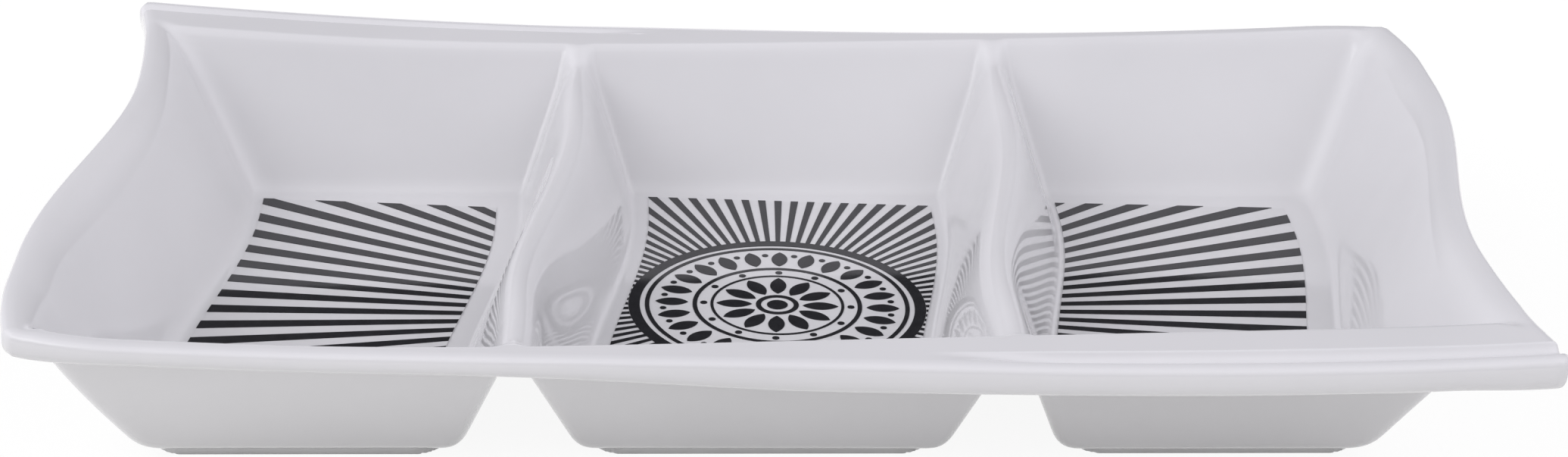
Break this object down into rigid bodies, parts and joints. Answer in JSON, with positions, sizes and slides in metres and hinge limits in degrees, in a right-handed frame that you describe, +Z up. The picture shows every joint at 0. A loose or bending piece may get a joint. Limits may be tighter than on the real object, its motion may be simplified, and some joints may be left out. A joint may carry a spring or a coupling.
{
  "type": "divided serving bowl",
  "caption": "Wavy long serving bowl with dividers between its wells, a tapering stepped rim, foot rings and black sunburst prints fused to the floors.",
  "frame": {"origin": "on the table under the middle of the centre well, at the bottom of the foot rings", "axes": "+X along the row of wells to the right, +Y to the back, +Z up"},
  "size_m": [0.394, 0.2394, 0.0512],
  "materials": {
    "melamine": "polished moulded melamine",
    "foil": "clear glazed paper foil fused into the moulding",
    "print_black": "black print under the glaze"
  },
  "bodies": {
    "root": {"bowl_body": "melamine", "left_foil": "foil", "centre_foil": "foil", "right_foil": "foil", "left_rays": "print_black", "centre_rays": "print_black", "right_rays": "print_black", "centre_rosette": "print_black"}
  },
  "joints": []
}
